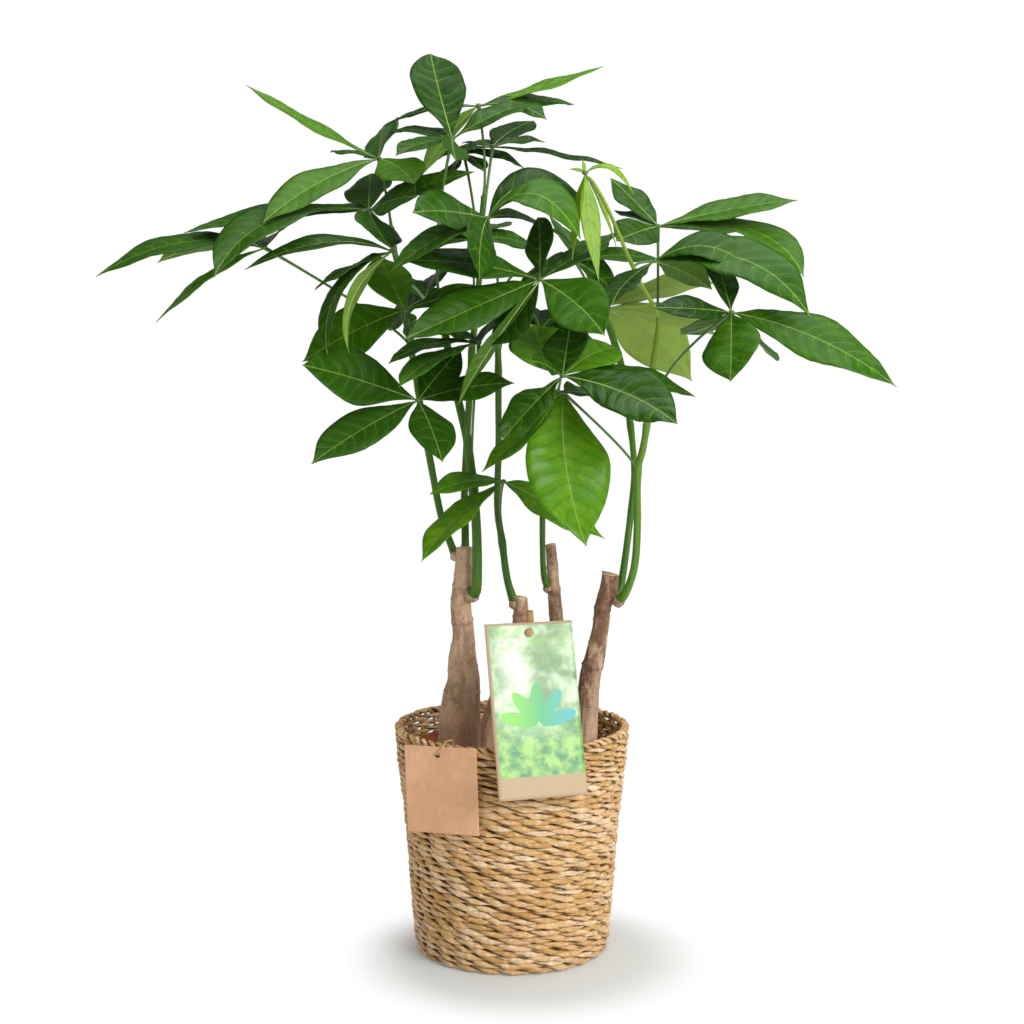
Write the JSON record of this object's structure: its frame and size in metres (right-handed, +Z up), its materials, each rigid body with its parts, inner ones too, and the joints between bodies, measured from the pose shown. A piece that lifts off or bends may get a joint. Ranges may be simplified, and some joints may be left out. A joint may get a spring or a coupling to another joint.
{
  "type": "potted money tree",
  "caption": "Young money tree with bare cut trunks, green stems and palmate leaves, potted in soil inside a woven basket, with a picture card and a paper tag.",
  "frame": {"origin": "centre of the basket's underside, where it stands", "axes": "+Z up along the plant, +X to the right and -Y to the front, the side with the card and the tag"},
  "size_m": [0.61, 0.39, 0.727],
  "materials": {
    "seagrass": "matte, twined seagrass cord",
    "pot_plastic": "matte",
    "soil": "loose, crumbly",
    "bark": "matte, smooth bark with scars",
    "green_stem": "satin, green skin",
    "young_stem": "satin, yellow-green skin",
    "leaf": "satin, waxy leaf with veins",
    "young_leaf": "gloss, soft young leaf",
    "card": "satin, printed front and plain back",
    "plain_wood": "matte",
    "kraft_paper": "matte",
    "twine": "matte, two-ply string"
  },
  "bodies": {
    "root": {"woven_basket": "seagrass", "nursery_pot": "pot_plastic", "potting_soil": "soil", "trunk_large": "bark", "trunk_short": "bark", "trunk_thin": "bark", "trunk_right": "bark", "stem_left": "green_stem", "stem_back": "green_stem", "stem_front": "green_stem", "stem_middle": "green_stem", "stem_thin": "green_stem", "stem_right_back": "green_stem", "stem_right_front": "green_stem", "young_shoot": "young_stem", "leaf_01": "leaf", "leaf_02": "leaf", "leaf_03": "leaf", "leaf_04": "leaf", "leaf_05": "leaf", "leaf_06": "leaf", "leaf_07": "leaf", "leaf_08": "leaf", "leaf_09": "leaf", "leaf_10": "leaf", "leaf_11": "leaf", "leaf_12": "leaf", "leaf_13": "leaf", "leaf_14": "leaf", "leaf_15": "leaf", "leaf_16": "leaf", "leaf_17": "leaf", "leaf_18": "leaf", "leaf_19": "leaf", "leaf_20": "leaf", "leaf_21": "leaf", "leaf_22": "leaf", "leaf_23": "leaf", "leaf_24": "leaf", "young_leaves": "young_leaf", "picture_card": "card", "card_stick": "plain_wood", "card_peg": "plain_wood", "kraft_tag": "kraft_paper", "tag_twine": "twine"}
  },
  "joints": []
}
